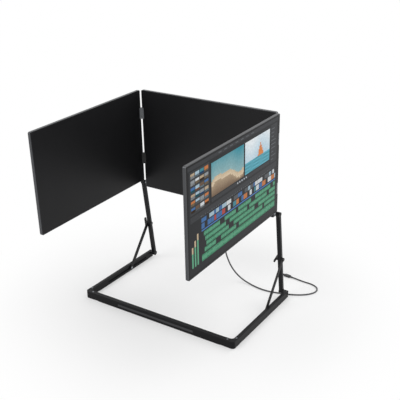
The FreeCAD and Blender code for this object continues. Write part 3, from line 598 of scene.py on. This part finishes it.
@dataclass
class Display:
    """The lit area of one screen, measured from its front glass."""

    name: str
    body: str
    layout: Layout
    across: Vector
    up: Vector
    out: Vector
    bezel_side: float = 7.15 * MM
    bezel_top: float = 5.5 * MM
    bezel_bottom: float = 8.2 * MM
    glass_inset: float = 1.75 * MM
    face_height: float = 256.0 * MM
    seed: int = 3

    def canvas(self) -> Canvas:
        """The canvas that just covers the lit area.

        Returns:
            A canvas on the front of the glass.
        """
        glass = bpy.data.objects["front_glass_" + self.name]
        corners = [vertex.co for vertex in glass.data.vertices]
        left = min(corner.dot(self.across) for corner in corners) - self.glass_inset
        right = max(corner.dot(self.across) for corner in corners) + self.glass_inset
        top = max(corner.dot(self.up) for corner in corners) + self.glass_inset
        front = max(corner.dot(self.out) for corner in corners)
        height = self.face_height - self.bezel_top - self.bezel_bottom
        low = top - self.bezel_top - height
        corner = self.across * (left + self.bezel_side) + self.up * low + self.out * front
        width = right - left - 2 * self.bezel_side
        return Canvas(corner, self.across, self.up, self.out, width, height)

    def build(self) -> bpy.types.Object:
        """Makes the picture for this display's layout.

        Returns:
            The picture piece.
        """
        canvas = self.canvas()
        canvas.tile(0.0, 0.0, 1.0, 1.0, INK, 0)
        dice = random.Random(self.seed)
        painters = {
            Layout.EDITING: self.editing,
            Layout.CHARTS: self.charts,
            Layout.GALLERY: self.gallery,
        }
        painters[self.layout](canvas, dice)
        return canvas.finish("picture_" + self.name, self.body, "panel_plastic")

    @staticmethod
    def thumbnails(
        canvas: Canvas, dice: random.Random, area: tuple[float, float, float, float],
        columns: int, rows: int,
    ) -> None:
        """Rows of small pictures, each two or three tiles.

        Args:
            canvas: where they go.
            dice: the seeded choice of tints.
            area: left, low, right and high of the rows.
            columns: pictures across.
            rows: pictures up.
        """
        left, low, right, high = area
        wide = (right - left) / columns
        tall = (high - low) / rows
        tints = (SAND, TEAL, SKY, CLOUD, BROWN, BLUE, (0.30, 0.33, 0.35), ORANGE)
        for column in range(columns):
            for row in range(rows):
                x0 = left + column * wide + wide * 0.07
                y0 = low + row * tall + tall * 0.16
                x1 = x0 + wide * 0.86
                y1 = y0 + tall * 0.72
                first = dice.choice(tints)
                second = dice.choice(tints)
                canvas.tile(x0, y0, x1, y1, blend_tints(INK, first, 0.55))
                split = y0 + (y1 - y0) * dice.uniform(0.3, 0.6)
                canvas.tile(x0, split, x1, y1, blend_tints(INK, second, 0.8), 2)

    def editing(self, canvas: Canvas, dice: random.Random) -> None:
        """An editing desk: two previews, a shelf of clips and long sound tracks."""
        canvas.tile(0.0, 0.965, 1.0, 1.0, PANEL)
        for index in range(7):
            start = 0.30 + index * 0.06
            canvas.tile(start, 0.979, start + 0.03, 0.987, LINE, 2)
        canvas.tile(0.015, 0.56, 0.205, 0.95, PANEL)
        self.thumbnails(canvas, dice, (0.022, 0.57, 0.198, 0.94), 4, 6)
        canvas.scene(0.225, 0.61, 0.575, 0.925, dunes, 34, 20)
        canvas.scene(0.590, 0.61, 0.890, 0.925, harbour, 30, 20)
        canvas.tile(0.905, 0.56, 0.985, 0.95, PANEL)
        for index in range(9):
            level = 0.59 + index * 0.039
            canvas.tile(0.912, level, 0.912 + dice.uniform(0.02, 0.06), level + 0.008, LINE, 2)
        canvas.tile(0.225, 0.565, 0.890, 0.598, PANEL)
        for index in range(5):
            canvas.tile(0.50 + index * 0.025, 0.575, 0.512 + index * 0.025, 0.588, LIGHT, 2)
        canvas.tile(0.015, 0.49, 0.985, 0.545, PANEL)
        for index in range(40):
            start = 0.12 + index * 0.0215
            tall = 0.012 if index % 5 == 0 else 0.006
            canvas.tile(start, 0.492, start + 0.0012, 0.492 + tall, LIGHT, 2)
        self.tracks(canvas, dice)
        for index in range(3):
            start = 0.022 + index * 0.026
            canvas.tile(start, 0.06, start + 0.014, 0.20 + 0.05 * index, PALE_GREEN, 2)
            canvas.tile(start, 0.20 + 0.05 * index, start + 0.014, 0.26 + 0.05 * index, SAND, 2)

    @staticmethod
    def tracks(canvas: Canvas, dice: random.Random) -> None:
        """The long tracks of clips and sound."""
        for low, high, tints, widest in (
            (0.435, 0.475, (BLUE, CLOUD, SKY, LINE), 0.06),
            (0.375, 0.425, (TEAL, SKY, CLOUD, BLUE, RED, ORANGE), 0.05),
        ):
            start = 0.12
            while start < 0.97:
                end = min(0.975, start + dice.uniform(0.015, widest))
                canvas.tile(start, low, end, high, blend_tints(INK, dice.choice(tints), 0.75))
                start = end + dice.choice((0.002, 0.002, 0.03))
        canvas.tile(0.12, 0.352, 0.975, 0.364, BLUE)
        for low, high, gap in (
            (0.295, 0.340, 0.05),
            (0.242, 0.287, 0.04),
            (0.189, 0.234, 0.10),
            (0.136, 0.181, 0.06),
            (0.060, 0.125, 0.0),
        ):
            start = 0.12 + (dice.uniform(0.0, 0.05) if gap else 0.0)
            while start < 0.965:
                length = dice.uniform(0.09, 0.30) if gap else 0.86
                end = min(0.975, start + length)
                canvas.tile(start, low, end, high, GREEN)
                middle = (low + high) / 2
                steps = max(3, int((end - start) / 0.006))
                for step in range(steps):
                    swing = dice.uniform(0.12, 0.42) * (high - low)
                    left = start + step * (end - start) / steps
                    right = left + (end - start) / steps * 0.7
                    canvas.tile(left, middle - swing, right, middle + swing, PALE_GREEN, 2)
                start = end + gap * dice.uniform(0.3, 1.0) + 0.003

    def charts(self, canvas: Canvas, dice: random.Random) -> None:
        """A board of charts: bars, bands and a table."""
        canvas.tile(0.0, 0.95, 1.0, 1.0, PANEL)
        for index in range(6):
            canvas.tile(0.02 + index * 0.07, 0.968, 0.06 + index * 0.07, 0.982, LIGHT, 2)
        for left, right in ((0.02, 0.34), (0.36, 0.66), (0.68, 0.98)):
            canvas.tile(left, 0.52, right, 0.92, PANEL)
            for index in range(11):
                start = left + 0.02 + index * (right - left - 0.04) / 11
                tall = dice.uniform(0.08, 0.32)
                tint = TEAL if index % 3 else ORANGE
                canvas.tile(start, 0.55, start + 0.014, 0.55 + tall, tint, 2)
        canvas.tile(0.02, 0.06, 0.60, 0.48, PANEL)
        for row in range(9):
            for column in range(5):
                start = 0.04 + column * 0.11
                level = 0.09 + row * 0.042
                tint = LIGHT if row == 8 else LINE
                canvas.tile(start, level, start + dice.uniform(0.03, 0.085), level + 0.016, tint, 2)
        canvas.scene(0.62, 0.06, 0.98, 0.48, meadow, 30, 22)

    def gallery(self, canvas: Canvas, dice: random.Random) -> None:
        """A shelf of pictures beside one large view."""
        canvas.scene(0.30, 0.12, 0.97, 0.92, dunes, 44, 30)
        canvas.tile(0.02, 0.12, 0.28, 0.92, PANEL)
        self.thumbnails(canvas, dice, (0.03, 0.14, 0.27, 0.90), 3, 8)
        canvas.tile(0.30, 0.05, 0.97, 0.09, PANEL)
        for index in range(9):
            canvas.tile(0.33 + index * 0.07, 0.062, 0.365 + index * 0.07, 0.078, LIGHT, 2)


@dataclass
class Studio:
    """The pale floor, the even world and the soft lamps.

    Attributes:
        floor_drop: how far the floor lies below the feet.
        fade_middle: the place on the floor round which it turns to plain white.
        fade_near: radius at which the white begins to grow.
        fade_far: radius at which it is whole.
        fade_least: its share inside the near radius.
    """

    floor_tint: Colour = (0.93, 0.93, 0.93)
    floor_size: float = 14.0
    floor_drop: float = 0.0002
    floor_roughness: float = 0.7
    floor_specular: float = 0.2
    fade_middle: Colour = (0.0, 0.16, 0.0)
    fade_near: float = 0.22
    fade_far: float = 0.62
    fade_least: float = 0.35
    world_level: float = 0.55

    @staticmethod
    def viewed(tree: bpy.types.NodeTree) -> bpy.types.NodeSocket:
        """The share of a ray that the camera sees straight, mirrored or through glass.

        Args:
            tree: the node tree that asks.

        Returns:
            A socket that is 1 for such rays and 0 for the rest.
        """
        path = tree.nodes.new("ShaderNodeLightPath")
        share = path.outputs["Is Camera Ray"]
        for ray in ("Is Glossy Ray", "Is Transmission Ray"):
            larger = tree.nodes.new("ShaderNodeMath")
            larger.operation = "MAXIMUM"
            tree.links.new(share, larger.inputs[0])
            tree.links.new(path.outputs[ray], larger.inputs[1])
            share = larger.outputs[0]
        return share

    def world(self) -> None:
        """Lights everything evenly, and shows white to the camera and in reflections."""
        world = bpy.data.worlds.new("studio")
        world.use_nodes = True
        bpy.context.scene.world = world
        nodes = world.node_tree.nodes
        links = world.node_tree.links
        output = nodes["World Output"]
        even = nodes["Background"]
        even.inputs["Color"].default_value = WHITE
        even.inputs["Strength"].default_value = self.world_level
        seen = nodes.new("ShaderNodeBackground")
        seen.inputs["Color"].default_value = WHITE
        chosen = nodes.new("ShaderNodeMixShader")
        links.new(self.viewed(world.node_tree), chosen.inputs["Fac"])
        links.new(even.outputs[0], chosen.inputs[1])
        links.new(seen.outputs[0], chosen.inputs[2])
        links.new(chosen.outputs[0], output.inputs["Surface"])

    def floor(self) -> None:
        """Makes the floor, which stays just below the feet."""
        work = bmesh.new()
        place = Matrix.Translation((0.0, 0.0, -self.floor_drop))
        bmesh.ops.create_grid(
            work, x_segments=1, y_segments=1, size=self.floor_size / 2, matrix=place
        )
        mesh = bpy.data.meshes.new("floor")
        work.to_mesh(mesh)
        work.free()
        paint = bpy.data.materials.new("floor_paint")
        paint.use_nodes = True
        nodes = paint.node_tree.nodes
        links = paint.node_tree.links
        shader = nodes["Principled BSDF"]
        shader.inputs["Base Color"].default_value = (*self.floor_tint, 1.0)
        shader.inputs["Roughness"].default_value = self.floor_roughness
        shader.inputs["Specular IOR Level"].default_value = self.floor_specular
        white = nodes.new("ShaderNodeEmission")
        white.inputs["Strength"].default_value = 1.0
        place = nodes.new("ShaderNodeTexCoord")
        offset = nodes.new("ShaderNodeVectorMath")
        offset.operation = "DISTANCE"
        offset.inputs[1].default_value = self.fade_middle
        fade = nodes.new("ShaderNodeMapRange")
        fade.interpolation_type = "SMOOTHSTEP"
        fade.inputs["From Min"].default_value = self.fade_near
        fade.inputs["From Max"].default_value = self.fade_far
        fade.inputs["To Min"].default_value = self.fade_least
        seen = nodes.new("ShaderNodeMath")
        seen.operation = "MULTIPLY"
        mixed = nodes.new("ShaderNodeMixShader")
        links.new(place.outputs["Object"], offset.inputs[0])
        links.new(offset.outputs["Value"], fade.inputs["Value"])
        links.new(fade.outputs["Result"], seen.inputs[0])
        links.new(self.viewed(paint.node_tree), seen.inputs[1])
        links.new(seen.outputs[0], mixed.inputs["Fac"])
        links.new(shader.outputs[0], mixed.inputs[1])
        links.new(white.outputs[0], mixed.inputs[2])
        links.new(mixed.outputs[0], nodes["Material Output"].inputs["Surface"])
        mesh.materials.append(paint)
        floor = bpy.data.objects.new("floor", mesh)
        bpy.context.scene.collection.objects.link(floor)

    @staticmethod
    def lamp(
        name: str, place: Iterable[float], aim: Iterable[float], size: float, power: float
    ) -> None:
        """Adds one soft lamp.

        Args:
            name: its name.
            place: where it hangs.
            aim: the point that it faces.
            size: the width of its square face.
            power: its power in watts.
        """
        data = bpy.data.lights.new(name, "AREA")
        data.shape = "SQUARE"
        data.size = size
        data.energy = power
        lamp = bpy.data.objects.new(name, data)
        lamp.location = Vector(place)
        direction = Vector(aim) - lamp.location
        lamp.rotation_euler = direction.to_track_quat("-Z", "Y").to_euler()
        bpy.context.scene.collection.objects.link(lamp)

    def build(self) -> None:
        """Sets up the whole studio."""
        self.world()
        self.floor()
        self.lamp("key_lamp", (-0.9, -1.4, 2.4), (0.0, 0.15, 0.25), 1.6, 26.0)
        self.lamp("back_lamp", (0.6, 1.9, 2.2), (0.0, 0.2, 0.3), 1.8, 22.0)
        self.lamp("side_lamp", (2.2, 0.1, 1.3), (0.1, 0.1, 0.35), 1.4, 10.0)


def axes_of(record: dict, joint: str) -> Vector:
    """The direction of a joint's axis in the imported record."""
    for entry in record["behaviour"]["joints"]:
        if entry["name"] == joint:
            return Vector(entry["axis"]).normalized()
    raise KeyError(joint)


CAMERA_PLACE = Vector((0.9405, -1.2525, 0.9931))
CAMERA_HEADING = Vector((-0.49024, 0.77661, -0.39565))

LEAD_DIAMETER = 4.0

# The lead's route from the upper plug to the plug on the table, in millimetres.
LEAD_ROUTE = (
    (45.0, 242.48, 219.46),
    (44.5, 244.0, 186.0),
    (46.0, 247.0, 150.0),
    (48.0, 255.0, 116.0),
    (43.5, 269.0, 88.0),
    (41.5, 283.0, 64.0),
    (47.0, 291.0, 40.0),
    (62.0, 294.0, 20.0),
    (85.0, 293.0, 7.0),
    (113.0, 288.5, 2.0),
    (146.0, 281.0, 2.0),
    (175.0, 281.5, 2.0),
    (203.0, 289.0, 2.0),
    (231.0, 297.5, 2.0),
    (258.0, 312.0, 2.0),
    (277.0, 331.0, 2.0),
    (284.0, 352.0, 2.0),
    (276.0, 371.0, 2.0),
    (256.0, 380.5, 2.0),
    (233.0, 380.5, 2.0),
    (212.0, 383.2, 2.3),
    (195.0, 385.0, 2.75),
)


def main() -> None:
    """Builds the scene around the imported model, piece by piece."""
    logging.basicConfig(level=logging.INFO, format="%(name)s: %(message)s")
    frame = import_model()
    bpy.context.scene.view_settings.view_transform = "Standard"
    Viewpoint(CAMERA_PLACE, CAMERA_HEADING).build()
    Lead(LEAD_ROUTE, LEAD_DIAMETER).build()
    dress_nodes(frame["nodes"])
    up = axes_of(frame["record"], "fold_left")
    right = Vector((1.0, 0.0, 0.0))
    forward = up.cross(right)
    for display in (
        Display("right", "right_screen", Layout.EDITING, forward, up, right, seed=5),
        Display("left", "left_screen", Layout.GALLERY, -forward, up, -right, seed=8),
        Display("centre", "centre_screen", Layout.CHARTS, -right, up, forward, seed=11),
    ):
        display.build()
    Studio().build()


if __name__ == "__main__":
    main()
